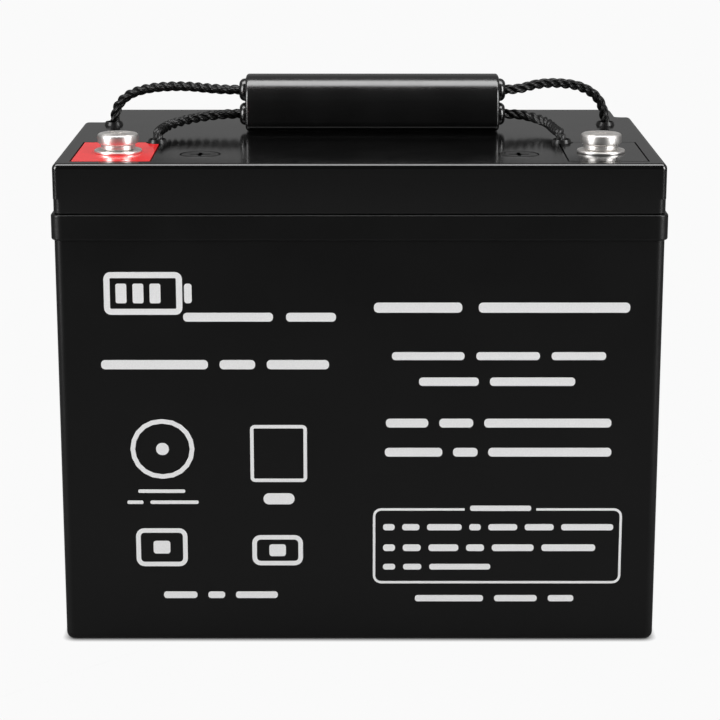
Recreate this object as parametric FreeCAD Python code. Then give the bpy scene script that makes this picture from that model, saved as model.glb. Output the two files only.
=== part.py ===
import FreeCAD, Part
import math
import os

# A sealed 12 V deep cycle battery that is lifted by two ropes with one shared grip.
# X runs along the case, Y to the back and Z up. The origin is the middle of the base.
# Every size is in millimetres.

V = FreeCAD.Vector

# ---- case, rim and lid, outside ----
case_length = 260.0
case_width = 168.0
case_height = 211.0
lid_height = 21.5
rim_height = 11.0
rim_proud = 1.25
corner_radius = 5.0
base_edge_radius = 3.0
rim_edge_radius = 0.8
lid_edge_radius = 2.2
lid_foot_radius = 0.8

# ---- walls ----
case_wall = 3.0
case_floor = 3.5
partition_wall = 1.8
lid_wall = 3.0
lid_top = 5.0
cover_thickness = 4.0
fit_gap = 0.2
cell_corner_radius = 2.0
seat_corner_radius = 3.0
hollow_corner_radius = 1.0

# ---- steps in the lid's back corners ----
left_step_length = 42.5
left_step_depth = 10.8
right_step_length = 26.0
right_step_depth = 6.8
step_ledge_height = 6.5
step_corner_radius = 2.5

# ---- cells ----
cell_count = 6
positive_plate_count = 5
negative_plate_count = 6
positive_plate_thickness = 3.2
negative_plate_thickness = 2.2
plate_head_room = 35.5
plate_side_gap = 2.0
plate_floor_gap = 1.5
mat_overhang = 1.2
stack_play = 0.4
touch_gap = 0.02
tab_width = 16.0
tab_height = 8.0
strap_width = 28.0
strap_height = 8.0
riser_thickness = 4.0
riser_height = 14.0
riser_width = 20.0
riser_gap = 0.3
link_radius = 6.0
link_above_strap = 7.0

# ---- terminals ----
terminal_from_side = 26.1
terminal_from_front = 33.5
post_radius = 6.0
insert_radius = 8.0
insert_flange_radius = 12.0
insert_flange_height = 5.0
thread_radius = 4.0
thread_depth = 8.4
thread_gap = 0.05
screw_length = 12.0
screw_head_radius = 8.7
screw_head_height = 4.3
screw_head_round = 1.0
slot_width = 1.5
slot_depth = 1.2
slot_reach = 7.2
flat_washer_radius = 10.3
flat_washer_thickness = 1.2
spring_washer_radius = 7.4
spring_washer_thickness = 2.7
spring_washer_split = 1.0
washer_bore_gap = 0.3
seal_radius = 9.5
seal_thickness = 3.0
seal_gap = 0.08

# ---- marker plates round the terminals ----
marker_from_side = 8.7
marker_from_front = 8.6
marker_length = 33.0
marker_width = 52.0
marker_thickness = 2.0
marker_groove = 0.7

# ---- vent plugs and relief valves ----
vent_from_side = 61.8
vent_from_front = 27.5
vent_head_radius = 8.3
vent_head_height = 3.0
vent_shank_radius = 6.5
vent_length = 11.0
vent_groove = 0.5
vent_boss_wall = 2.5
vent_slot_length = 8.7
vent_slot_width = 1.5
vent_slot_centre = 2.8
vent_slot_depth = 1.5
vent_passage_radius = 1.5
ring_section = 0.65
ring_seat_above_end = 4.0
disc_radius = 4.5
disc_thickness = 2.5
chimney_radius = 6.5
chimney_bore = 3.5
chimney_height = 7.5
valve_from_back = 74.0
valve_wall = 1.7
valve_top = 1.5
valve_lift_gap = 0.3
valve_skirt_gap = 1.0
peg_radius = 3.0

# ---- rope holes and their collars ----
front_hole_from_side = 40.7
front_hole_from_front = 60.8
rear_hole_from_side = 16.0
rear_hole_from_front = 114.8
rope_diameter = 4.6
rope_gap = 0.8
collar_wall = 0.7
collar_flange = 0.6
collar_tip_wall = 0.7
collar_mouth_flare = 0.4
collar_rise = 1.5
knot_overhang = 1.5
knot_tail = 6.0

# ---- grip ----
grip_length = 115.2
grip_depth = 26.0
grip_height = 24.6
grip_top_radius = 11.0
grip_bottom_radius = 4.7
grip_offset = 5.8
grip_front_from_front = 88.7
grip_clearance = 0.4
grip_cap_thickness = 4.0
grip_bore_gap = 0.7
lobe_radius = 5.15
lobe_rise = 3.0
rope_from_grip_front = 11.0
rope_pitch = 11.0

# ---- rope routes ----
# Each half of a route starts at its hole in the lid and ends at the grip. The first points
# are offsets from the hole at the lid's top, and the last are offsets from the end of the
# grip at the height of that rope, with X counted outwards.
bend_share = 0.45
routes = {
    "rope_front_left": {
        "from_hole": [(0, 0, -4.5), (0, 0, 3.9), (-0.6, 11.0, 3.9), (-3.2, 22.0, 4.4)],
        "to_grip": [(26.5, -8.2, -1.5), (17.8, -2.4, -0.7), (8.6, 0, 0), (0, 0, 0)],
    },
    "rope_rear_left": {
        "from_hole": [(0, 0, -4.5), (0, 0, 6.0), (-6.0, -2.1, 14.0), (-17.0, -5.0, 17.9)],
        "to_grip": [(29.6, 6.6, 1.0), (17.6, 2.3, 0.4), (8.6, 0, 0), (0, 0, 0)],
    },
    "rope_front_right": {
        "from_hole": [(0, 0, -4.5), (0, 0, 3.9), (-1.6, 9.6, 3.7), (-2.6, 19.0, 3.9)],
        "to_grip": [(21.6, -12.0, -2.3), (17.0, -4.3, -1.4), (9.0, 0, 0), (0, 0, 0)],
    },
    "rope_rear_right": {
        "from_hole": [(0, 0, -4.5), (0, 0, 4.6), (-3.8, -1.6, 13.4), (-12.4, -5.0, 18.8)],
        "to_grip": [(27.0, 7.0, 2.4), (17.0, 3.2, 2.2), (8.6, 0, 0), (0, 0, 0)],
    },
}

# ---- places that several pieces share ----
rim_top = case_height - lid_height
rim_bottom = rim_top - rim_height
cover_bottom = rim_top - cover_thickness
lid_under = case_height - lid_top
body_length = case_length - 2 * rim_proud
body_width = case_width - 2 * rim_proud
inner_length = body_length - 2 * case_wall
inner_width = body_width - 2 * case_wall
cell_length = (inner_length - (cell_count - 1) * partition_wall) / cell_count
cell_pitch = cell_length + partition_wall
front = -case_width / 2
back = case_width / 2
side = case_length / 2
terminal_x = side - terminal_from_side
terminal_y = front + terminal_from_front
strap_y = abs(terminal_y)
plate_bottom = case_floor + plate_floor_gap
plate_top = cover_bottom - plate_head_room
strap_bottom = plate_top + tab_height
strap_top = strap_bottom + strap_height
link_z = strap_top + link_above_strap
insert_bottom = lid_under - insert_flange_height
marker_x = side - marker_from_side - marker_length / 2
marker_y = front + marker_from_front + marker_width / 2
vent_x = side - vent_from_side
vent_y = front + vent_from_front
vent_bottom = case_height - vent_length
valve_y = back - valve_from_back
chimney_top = rim_top + chimney_height
valve_cap_top = chimney_top + valve_top
front_hole_x = side - front_hole_from_side
front_hole_y = front + front_hole_from_front
rear_hole_x = side - rear_hole_from_side
rear_hole_y = front + rear_hole_from_front
rope_radius = rope_diameter / 2
collar_bore = rope_radius + rope_gap
collar_shank_radius = collar_bore + collar_wall
collar_radius = collar_shank_radius + collar_flange
collar_tip_radius = collar_bore + collar_tip_wall
knot_radius = collar_bore + knot_overhang
rope_y = front + grip_front_from_front + rope_from_grip_front
grip_middle_y = front + grip_front_from_front + grip_depth / 2
grip_bottom = case_height + grip_clearance
front_rope_height = grip_clearance + (grip_height - rope_pitch) / 2
rear_rope_height = front_rope_height + rope_pitch
washer_top = case_height + flat_washer_thickness
head_bottom = washer_top + spring_washer_thickness


def cylinder(x, y, low, high, radius):
    return Part.makeCylinder(radius, high - low, V(x, y, low))


def ring(x, y, low, high, outer, inner):
    return cylinder(x, y, low, high, outer).cut(cylinder(x, y, low, high, inner))


def block(x, y, low, high, length, width):
    return Part.makeBox(length, width, high - low, V(x - length / 2, y - width / 2, low))


def rounded_outline(points, radii):
    """A closed flat outline through the points, with an arc of its own radius at each corner."""
    edges = []
    ends = []
    count = len(points)
    for number in range(count):
        corner = points[number]
        to_last = (points[number - 1] - corner).normalize()
        to_next = (points[(number + 1) % count] - corner).normalize()
        half_angle = to_last.getAngle(to_next) / 2
        radius = radii[number]
        trim = radius / math.tan(half_angle)
        bisector = (to_last + to_next).normalize()
        middle = corner + bisector * (radius / math.sin(half_angle) - radius)
        ends.append((corner + to_last * trim, middle, corner + to_next * trim))
    for number in range(count):
        arc_start, middle, arc_end = ends[number]
        edges.append(Part.Arc(arc_start, middle, arc_end).toShape())
        edges.append(Part.LineSegment(arc_end, ends[(number + 1) % count][0]).toShape())
    return Part.Wire(edges)


def rectangle(length, width, level):
    half_x = length / 2
    half_y = width / 2
    corners = [(-half_x, -half_y), (half_x, -half_y), (half_x, half_y), (-half_x, half_y)]
    return [V(x, y, level) for x, y in corners]


def stepped_rectangle(length, width, level):
    """The lid's plan: a rectangle with a step in each of its two back corners."""
    half_x = length / 2
    half_y = width / 2
    right = half_x - right_step_depth
    left = -half_x + left_step_depth
    corners = [
        (-half_x, -half_y),
        (half_x, -half_y),
        (half_x, half_y - right_step_length),
        (right, half_y - right_step_length),
        (right, half_y),
        (left, half_y),
        (left, half_y - left_step_length),
        (-half_x, half_y - left_step_length),
    ]
    return [V(x, y, level) for x, y in corners]


def prism(points, height, radius):
    return Part.Face(rounded_outline(points, [radius] * len(points))).extrude(V(0, 0, height))


def edges_at(shape, level):
    """The edges that lie flat at one height."""
    found = []
    for edge in shape.Edges:
        box = edge.BoundBox
        if abs(box.ZMin - level) < 1e-4 and abs(box.ZMax - level) < 1e-4:
            found.append(edge)
    return found


def cell_centre(cell):
    return (cell - (cell_count - 1) / 2) * cell_pitch


def case_body():
    """Container: six cells in a row between thin walls, under a thicker rim."""
    inset_corner = corner_radius - rim_proud
    wall = prism(rectangle(body_length, body_width, 0), rim_bottom + 1, inset_corner)
    wall = wall.makeFillet(base_edge_radius, edges_at(wall, 0))
    rim = prism(rectangle(case_length, case_width, rim_bottom), rim_height, corner_radius)
    rim_edges = edges_at(rim, rim_bottom) + edges_at(rim, rim_top)
    rim = rim.makeFillet(rim_edge_radius, rim_edges)
    body = wall.fuse(rim)
    for cell in range(cell_count):
        corners = rectangle(cell_length, inner_width, case_floor)
        space = prism(corners, cover_bottom + 1 - case_floor, cell_corner_radius)
        space.translate(V(cell_centre(cell), 0, 0))
        body = body.cut(space)
    seat_length = case_length - 2 * case_wall
    seat_width = case_width - 2 * case_wall
    seat = prism(rectangle(seat_length, seat_width, cover_bottom), cover_thickness + 1, seat_corner_radius)
    body = body.cut(seat)
    for wall_number in range(cell_count - 1):
        x = cell_centre(wall_number) + cell_pitch / 2
        y = strap_y if wall_number % 2 == 0 else -strap_y
        start = V(x - partition_wall, y, link_z)
        hole = Part.makeCylinder(link_radius + touch_gap, 2 * partition_wall, start, V(1, 0, 0))
        body = body.cut(hole)
    return body.removeSplitter()


def inner_cover():
    """Plate that closes the six cells, with a chimney for the relief valve of each one."""
    length = case_length - 2 * case_wall - 2 * fit_gap
    width = case_width - 2 * case_wall - 2 * fit_gap
    plate = prism(rectangle(length, width, cover_bottom), cover_thickness, seat_corner_radius)
    for cell in range(cell_count):
        x = cell_centre(cell)
        plate = plate.fuse(cylinder(x, valve_y, cover_bottom, chimney_top, chimney_radius))
    for cell in range(cell_count):
        x = cell_centre(cell)
        plate = plate.cut(cylinder(x, valve_y, cover_bottom - 1, chimney_top + 1, chimney_bore))
    for x in (-terminal_x, terminal_x):
        hole = cylinder(x, terminal_y, cover_bottom - 1, rim_top + 1, post_radius + fit_gap)
        seat_low = rim_top - seal_thickness
        seat = cylinder(x, terminal_y, seat_low, rim_top + 1, seal_radius + seal_gap)
        plate = plate.cut(hole).cut(seat)
    return plate.removeSplitter()


def marker_block(x, low, high, grow):
    length = marker_length + 2 * grow
    width = marker_width + 2 * grow
    return block(x, marker_y, low, high, length, width)


def lid():
    """Flat-topped cover with steps in its back corners and seats for all that it carries."""
    inset_corner = corner_radius - rim_proud
    ledge = rim_top + step_ledge_height
    lower = prism(rectangle(body_length, body_width, rim_top), step_ledge_height, inset_corner)
    lower = lower.makeFillet(lid_foot_radius, edges_at(lower, rim_top))
    upper_height = case_height - ledge
    outline = stepped_rectangle(body_length, body_width, ledge)
    upper = prism(outline, upper_height, step_corner_radius)
    upper = upper.makeFillet(lid_edge_radius, edges_at(upper, case_height))
    shell = lower.fuse(upper)
    hollow_length = body_length - 2 * lid_wall
    hollow_width = body_width - 2 * lid_wall
    low_hollow = step_ledge_height - lid_wall
    low_plan = rectangle(hollow_length, hollow_width, rim_top - 1)
    shell = shell.cut(prism(low_plan, low_hollow + 1, hollow_corner_radius))
    high_plan = stepped_rectangle(hollow_length, hollow_width, rim_top)
    shell = shell.cut(prism(high_plan, lid_under - rim_top, hollow_corner_radius))
    for cell in range(cell_count):
        low = valve_cap_top + valve_lift_gap
        shell = shell.fuse(cylinder(cell_centre(cell), valve_y, low, lid_under + 1, peg_radius))
    for x in (-vent_x, vent_x):
        boss_radius = vent_shank_radius + vent_boss_wall
        shell = shell.fuse(cylinder(x, vent_y, vent_bottom, lid_under + 1, boss_radius))
    for sign in (-1, 1):
        floor = case_height - marker_thickness
        recess = marker_block(sign * marker_x, floor, case_height + 1, marker_groove)
        keep = cylinder(sign * front_hole_x, front_hole_y, floor - 1, case_height + 2, collar_radius)
        shell = shell.cut(recess.cut(keep))
        x = sign * terminal_x
        shell = shell.cut(cylinder(x, terminal_y, lid_under - 1, case_height, insert_radius + fit_gap))
        x = sign * vent_x
        head_low = case_height - vent_head_height
        head_seat = vent_head_radius + vent_groove
        shell = shell.cut(cylinder(x, vent_y, head_low, case_height + 1, head_seat))
        shank_seat = vent_shank_radius + 0.1
        shell = shell.cut(cylinder(x, vent_y, vent_bottom - 1, case_height, shank_seat))
        for hole_x, hole_y in ((front_hole_x, front_hole_y), (rear_hole_x, rear_hole_y)):
            bore = collar_shank_radius + touch_gap
            hole = cylinder(sign * hole_x, hole_y, lid_under - 1, case_height + 1, bore)
            shell = shell.cut(hole)
    return shell.removeSplitter()


def plate_places(thickness, count, other_thickness, mat):
    """The X of each plate's middle in a cell, where the two kinds of plate alternate."""
    pitch = thickness + other_thickness + 2 * mat
    return [(number - (count - 1) / 2) * pitch for number in range(count)]


def mat_thickness():
    plates = positive_plate_count * positive_plate_thickness
    plates += negative_plate_count * negative_plate_thickness
    mats = positive_plate_count + negative_plate_count - 1
    return (cell_length - 2 * stack_play - plates) / mats


def plate_group(cell, positive):
    """The plates of one polarity in one cell, cast on to their strap."""
    mat = mat_thickness()
    if positive:
        thickness = positive_plate_thickness
        count = positive_plate_count
        other = negative_plate_thickness
    else:
        thickness = negative_plate_thickness
        count = negative_plate_count
        other = positive_plate_thickness
    at_front = (cell % 2 == 0) == positive
    y = -strap_y if at_front else strap_y
    centre = cell_centre(cell)
    plate_width = inner_width - 2 * plate_side_gap
    pieces = []
    for place in plate_places(thickness, count, other, mat):
        x = centre + place
        pieces.append(block(x, 0, plate_bottom, plate_top, thickness, plate_width))
        pieces.append(block(x, y, plate_top - 1, strap_bottom + 1, thickness, tab_width))
    reach = cell_length / 2 - riser_gap
    pieces.append(block(centre, y, strap_bottom, strap_top, 2 * reach, strap_width))
    # Current enters at the left and leaves at the right, so a positive group is welded
    # through the wall on its left and a negative group through the wall on its right.
    linked = cell > 0 if positive else cell < cell_count - 1
    if linked:
        direction = -1 if positive else 1
        x = centre + direction * (reach - riser_thickness / 2)
        riser_top = strap_top + riser_height
        pieces.append(block(x, y, strap_top - 1, riser_top, riser_thickness, riser_width))
    return pieces[0].multiFuse(pieces[1:]).removeSplitter()


def separator_pack(cell):
    """Glass mat sheets that keep the plates of one cell apart and hold the acid."""
    mat = mat_thickness()
    places = plate_places(positive_plate_thickness, positive_plate_count,
                          negative_plate_thickness, mat)
    offset = positive_plate_thickness / 2 + mat / 2
    width = inner_width - plate_side_gap
    high = plate_top + mat_overhang
    sheets = []
    for place in places:
        for direction in (-1, 1):
            x = cell_centre(cell) + place + direction * offset
            sheets.append(block(x, 0, plate_bottom, high, mat - 2 * touch_gap, width))
    return Part.Compound(sheets)


def cell_links():
    """Weld nuggets that carry the current through the five partition walls."""
    links = []
    for wall_number in range(cell_count - 1):
        x = cell_centre(wall_number) + cell_pitch / 2
        y = strap_y if wall_number % 2 == 0 else -strap_y
        length = partition_wall + 2 * riser_gap
        start = V(x - length / 2, y, link_z)
        links.append(Part.makeCylinder(link_radius, length, start, V(1, 0, 0)))
    return Part.Compound(links)


def post(x):
    return cylinder(x, terminal_y, strap_top, insert_bottom, post_radius)


def post_seal(x):
    low = rim_top - seal_thickness
    return ring(x, terminal_y, low, rim_top, seal_radius, post_radius + touch_gap)


def terminal_insert(x):
    """Brass insert: a hexagonal flange under the lid and a threaded neck up through it."""
    corners = []
    for number in range(6):
        angle = math.radians(60 * number + 30)
        corner_x = x + insert_flange_radius * math.cos(angle)
        corner_y = terminal_y + insert_flange_radius * math.sin(angle)
        corners.append(V(corner_x, corner_y, insert_bottom))
    corners.append(corners[0])
    flange = Part.Face(Part.makePolygon(corners)).extrude(V(0, 0, insert_flange_height))
    neck = cylinder(x, terminal_y, lid_under - 1, case_height, insert_radius)
    thread_low = case_height - thread_depth
    thread = cylinder(x, terminal_y, thread_low, case_height + 1, thread_radius)
    return flange.fuse(neck).cut(thread).removeSplitter()


def marker_plate(sign):
    """Coloured plate let into the lid round a terminal, cut away beside the rope collar."""
    floor = case_height - marker_thickness
    plate = marker_block(sign * marker_x, floor, case_height, 0)
    hole = cylinder(sign * terminal_x, terminal_y, floor - 1, case_height + 1, insert_radius + fit_gap)
    around = collar_radius + marker_groove
    corner = cylinder(sign * front_hole_x, front_hole_y, floor - 1, case_height + 1, around)
    return plate.cut(hole).cut(corner)


def flat_washers():
    inner = thread_radius + washer_bore_gap
    sizes = (case_height, washer_top, flat_washer_radius, inner)
    return Part.Compound([ring(x, terminal_y, *sizes) for x in (-terminal_x, terminal_x)])


def spring_washers():
    washers = []
    for x in (-terminal_x, terminal_x):
        inner = thread_radius + washer_bore_gap
        body = ring(x, terminal_y, washer_top, head_bottom, spring_washer_radius, inner)
        split_y = terminal_y - spring_washer_radius / 2
        split = block(x + spring_washer_radius, split_y, washer_top - 1, head_bottom + 1,
                      spring_washer_radius * 2, spring_washer_split)
        washers.append(body.cut(split))
    return Part.Compound(washers)


def terminal_screws():
    """Round-headed screws with a shallow cross slot."""
    screws = []
    for x in (-terminal_x, terminal_x):
        head_top = head_bottom + screw_head_height
        head = cylinder(x, terminal_y, head_bottom, head_top, screw_head_radius)
        head = head.makeFillet(screw_head_round, edges_at(head, head_top))
        for angle in (40, 130):
            slot = block(0, 0, head_top - slot_depth, head_top + 1, 2 * slot_reach, slot_width)
            slot.rotate(V(0, 0, 0), V(0, 0, 1), angle)
            slot.translate(V(x, terminal_y, 0))
            head = head.cut(slot)
        shank_radius = thread_radius - thread_gap
        shank = cylinder(x, terminal_y, head_bottom - screw_length, head_bottom + 1, shank_radius)
        screws.append(head.fuse(shank).removeSplitter())
    return Part.Compound(screws)


def vent_plug(x):
    """Gas outlet that screws into the lid: slotted head, ring groove and a drilled passage."""
    head_low = case_height - vent_head_height
    head = cylinder(x, vent_y, head_low, case_height, vent_head_radius)
    shank = cylinder(x, vent_y, vent_bottom, head_low + 1, vent_shank_radius)
    plug = head.fuse(shank)
    for length, width in ((vent_slot_length, vent_slot_width), (vent_slot_width, vent_slot_length),
                          (vent_slot_centre, vent_slot_centre)):
        low = case_height - vent_slot_depth
        plug = plug.cut(block(x, vent_y, low, case_height + 1, length, width))
    groove_z = vent_bottom + ring_seat_above_end
    groove_floor = vent_shank_radius - 2 * ring_section + 0.1
    groove = ring(x, vent_y, groove_z - ring_section, groove_z + ring_section,
                  vent_shank_radius + 1, groove_floor)
    plug = plug.cut(groove)
    plug = plug.cut(cylinder(x, vent_y, vent_bottom - 1, vent_bottom + disc_thickness,
                             disc_radius + touch_gap))
    plug = plug.cut(cylinder(x, vent_y, vent_bottom, head_low, vent_passage_radius))
    return plug.removeSplitter()


def vent_rings():
    centre_radius = vent_shank_radius - ring_section + 0.1
    level = vent_bottom + ring_seat_above_end
    section = ring_section - touch_gap
    rings = [Part.makeTorus(centre_radius, section, V(x, vent_y, level)) for x in (-vent_x, vent_x)]
    return Part.Compound(rings)


def flame_discs():
    discs = []
    for x in (-vent_x, vent_x):
        discs.append(cylinder(x, vent_y, vent_bottom, vent_bottom + disc_thickness, disc_radius))
    return Part.Compound(discs)


def relief_valve(cell):
    """Rubber cap that stretches over a chimney and lets gas out past its skirt."""
    x = cell_centre(cell)
    low = rim_top + valve_skirt_gap
    cap = cylinder(x, valve_y, low, valve_cap_top, chimney_radius + touch_gap + valve_wall)
    return cap.cut(cylinder(x, valve_y, low - 1, chimney_top, chimney_radius + touch_gap))


def hole_places():
    return {
        "rope_front_left": V(-front_hole_x, front_hole_y, case_height),
        "rope_front_right": V(front_hole_x, front_hole_y, case_height),
        "rope_rear_left": V(-rear_hole_x, rear_hole_y, case_height),
        "rope_rear_right": V(rear_hole_x, rear_hole_y, case_height),
    }


def rope_collars():
    """Low conical collars that line the four rope holes."""
    collars = []
    for place in hole_places().values():
        shank = cylinder(place.x, place.y, lid_under, case_height, collar_shank_radius)
        cone = Part.makeCone(collar_radius, collar_tip_radius, collar_rise, place)
        hole = cylinder(place.x, place.y, lid_under - 1, case_height + 2 * collar_rise,
                        collar_bore)
        mouth = Part.makeCone(collar_bore, collar_bore + collar_mouth_flare, collar_rise, place)
        collars.append(shank.fuse(cone).cut(hole).cut(mouth).removeSplitter())
    return Part.Compound(collars)


def rope_knots():
    """The knotted ends of the ropes, which stop under the collars inside the lid."""
    knots = []
    for name, place in hole_places().items():
        rope_start = case_height + routes[name]["from_hole"][0][2]
        middle = lid_under - touch_gap - knot_radius
        neck = cylinder(place.x, place.y, middle, rope_start, rope_radius)
        knot = Part.makeSphere(knot_radius, V(place.x, place.y, middle))
        tail_low = middle - knot_radius - knot_tail / 2
        tail = cylinder(place.x, place.y, tail_low, middle, rope_radius)
        knots.append(knot.fuse(neck).fuse(tail).removeSplitter())
    return Part.Compound(knots)


def rope_level(name):
    height = front_rope_height if "front" in name else rear_rope_height
    return case_height + height


def route_points(name):
    """The route of one rope from its hole in the lid to the end of the grip."""
    direction = -1 if "left" in name else 1
    hole = hole_places()[name]
    grip_end = V(grip_offset + direction * grip_length / 2, rope_y, rope_level(name))
    points = [hole + V(direction * x, y, z) for x, y, z in routes[name]["from_hole"]]
    points += [grip_end + V(direction * x, y, z) for x, y, z in routes[name]["to_grip"]]
    return points


def rope_tube(name):
    """Straight runs joined by tangent arcs, with the rope's round section."""
    points = route_points(name)
    edges = []
    radii = []
    start = points[0]
    for last, corner, following in zip(points, points[1:], points[2:]):
        to_last = last - corner
        to_next = following - corner
        trim = bend_share * min(to_last.Length, to_next.Length)
        to_last.normalize()
        to_next.normalize()
        half_angle = to_last.getAngle(to_next) / 2
        radius = trim * math.tan(half_angle)
        bisector = (to_last + to_next).normalize()
        middle = corner + bisector * (radius / math.sin(half_angle) - radius)
        arc_start = corner + to_last * trim
        arc_end = corner + to_next * trim
        edges.append(Part.LineSegment(start, arc_start).toShape())
        edges.append(Part.Arc(arc_start, middle, arc_end).toShape())
        radii.append(radius)
        start = arc_end
    edges.append(Part.LineSegment(start, points[-1]).toShape())
    path = Part.Wire(edges)
    first_run = points[1] - points[0]
    section = Part.Wire([Part.Circle(points[0], first_run, rope_radius).toShape()])
    tube = path.makePipeShell([section], True, False)
    expected = math.pi * rope_radius ** 2 * path.Length
    print(name, "length %.1f" % path.Length, "bend radii", ["%.1f" % r for r in radii],
          "volume / (section x length) %.4f" % (tube.Volume / expected))
    return tube


def rope_through_grip(rope):
    """The straight stretch of one rope between the two ends of the grip."""
    left = route_points("rope_%s_left" % rope)[-1]
    right = route_points("rope_%s_right" % rope)[-1]
    return Part.makeCylinder(rope_radius, right.x - left.x, left, V(1, 0, 0))


def grip_section(x_low, x_high):
    """The grip's section, rounder above than below, from one X to another."""
    low_y = grip_middle_y - grip_depth / 2
    high_y = grip_middle_y + grip_depth / 2
    top = grip_bottom + grip_height
    corners = [V(x_low, low_y, grip_bottom), V(x_low, high_y, grip_bottom),
               V(x_low, high_y, top), V(x_low, low_y, top)]
    radii = [grip_bottom_radius, grip_bottom_radius, grip_top_radius, grip_top_radius]
    outline = rounded_outline(corners, radii)
    return Part.Face(outline).extrude(V(x_high - x_low, 0, 0))


def grip_bores(x_low, x_high):
    radius = rope_radius + grip_bore_gap
    bores = []
    for height in (front_rope_height, rear_rope_height):
        start = V(x_low, rope_y, case_height + height)
        bores.append(Part.makeCylinder(radius, x_high - x_low, start, V(1, 0, 0)))
    return bores


def grip_sleeve():
    half = grip_length / 2 - grip_cap_thickness
    low = grip_offset - half
    high = grip_offset + half
    sleeve = grip_section(low, high)
    for bore in grip_bores(low - 1, high + 1):
        sleeve = sleeve.cut(bore)
    return sleeve


def grip_cap(direction):
    """End cap with a domed lobe round each rope."""
    outer = grip_offset + direction * grip_length / 2
    inner = outer - direction * grip_cap_thickness
    cap = grip_section(min(inner, outer), max(inner, outer))
    dome_radius = (lobe_radius ** 2 + lobe_rise ** 2) / (2 * lobe_rise)
    room = grip_section(min(inner, outer) - 2 * lobe_rise, max(inner, outer) + 2 * lobe_rise)
    for height in (front_rope_height, rear_rope_height):
        centre_x = outer + direction * (lobe_rise - dome_radius)
        dome = Part.makeSphere(dome_radius, V(centre_x, rope_y, case_height + height))
        reach = 2 * lobe_radius
        box = Part.makeBox(reach, 2 * reach, 2 * reach)
        low_x = outer - 0.5 if direction > 0 else outer + 0.5 - reach
        box.translate(V(low_x, rope_y - reach, case_height + height - reach))
        cap = cap.fuse(dome.common(box).common(room))
    low = min(inner, outer) - 2 * lobe_rise
    high = max(inner, outer) + 2 * lobe_rise
    for bore in grip_bores(low, high):
        cap = cap.cut(bore)
    return cap.removeSplitter()


def all_parts():
    parts = {
        "case_body": case_body(),
        "inner_cover": inner_cover(),
        "lid": lid(),
        "cell_links": cell_links(),
        "positive_post": post(-terminal_x),
        "negative_post": post(terminal_x),
        "positive_post_seal": post_seal(-terminal_x),
        "negative_post_seal": post_seal(terminal_x),
        "positive_terminal_insert": terminal_insert(-terminal_x),
        "negative_terminal_insert": terminal_insert(terminal_x),
        "positive_marker_plate": marker_plate(-1),
        "negative_marker_plate": marker_plate(1),
        "flat_washers": flat_washers(),
        "spring_washers": spring_washers(),
        "terminal_screws": terminal_screws(),
        "vent_plug_left": vent_plug(-vent_x),
        "vent_plug_right": vent_plug(vent_x),
        "vent_plug_rings": vent_rings(),
        "flame_discs": flame_discs(),
        "rope_collars": rope_collars(),
        "rope_knots": rope_knots(),
        "rope_front_in_grip": rope_through_grip("front"),
        "rope_rear_in_grip": rope_through_grip("rear"),
        "grip_sleeve": grip_sleeve(),
        "grip_cap_left": grip_cap(-1),
        "grip_cap_right": grip_cap(1),
    }
    for cell in range(cell_count):
        number = cell + 1
        parts["positive_plates_%d" % number] = plate_group(cell, True)
        parts["negative_plates_%d" % number] = plate_group(cell, False)
        parts["separator_pack_%d" % number] = separator_pack(cell)
        parts["relief_valve_%d" % number] = relief_valve(cell)
    for name in routes:
        parts[name] = rope_tube(name)
    return parts


os.makedirs("parts", exist_ok=True)
for node_name, shape in all_parts().items():
    shape.exportStep("parts/%s.step" % node_name)
    print(node_name, "solids", len(shape.Solids), "volume %.1f cm3" % (shape.Volume / 1000),
          "valid", shape.isValid())
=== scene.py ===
# %% [markdown]
# # A sealed deep cycle battery with a rope handle
# The real object is a black moulded case with a glossy lid. Two ropes come up out of the lid, run through one
# soft grip and go back down into the lid, and a screw stands on each of the two terminals.
# The measured parts come in as a fixed frame, so every new piece is made in metres at the place where it stays.

# %% Start: load the frame and keep its box
from math import cos, pi, radians, sin, sqrt

import bpy
from mathutils import Matrix, Vector


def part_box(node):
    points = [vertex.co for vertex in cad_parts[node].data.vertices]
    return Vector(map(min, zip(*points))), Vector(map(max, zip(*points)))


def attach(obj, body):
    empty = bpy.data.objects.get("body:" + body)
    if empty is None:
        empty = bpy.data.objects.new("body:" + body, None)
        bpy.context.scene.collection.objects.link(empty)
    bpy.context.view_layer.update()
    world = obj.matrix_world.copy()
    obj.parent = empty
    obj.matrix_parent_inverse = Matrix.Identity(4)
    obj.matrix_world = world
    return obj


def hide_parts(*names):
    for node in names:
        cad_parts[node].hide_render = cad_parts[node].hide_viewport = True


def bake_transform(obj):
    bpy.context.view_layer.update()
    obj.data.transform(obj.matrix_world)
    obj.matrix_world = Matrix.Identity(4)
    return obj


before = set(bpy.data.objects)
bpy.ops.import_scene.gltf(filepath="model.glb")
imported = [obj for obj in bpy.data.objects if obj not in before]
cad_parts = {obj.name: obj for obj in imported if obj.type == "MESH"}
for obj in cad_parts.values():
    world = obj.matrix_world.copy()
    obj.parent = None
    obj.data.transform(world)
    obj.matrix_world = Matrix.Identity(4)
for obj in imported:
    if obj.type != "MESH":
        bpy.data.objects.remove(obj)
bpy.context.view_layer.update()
MM = 0.001

# %% [markdown]
# ## Camera
# A product is mostly shown from a little above with a long lens, which keeps upright edges upright. The camera
# stands straight in front of the case, 157 mm above the lid, and looks down by about fourteen degrees.
# A camera with a short lens would stand closer and spread the lid's sides apart.

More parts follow.
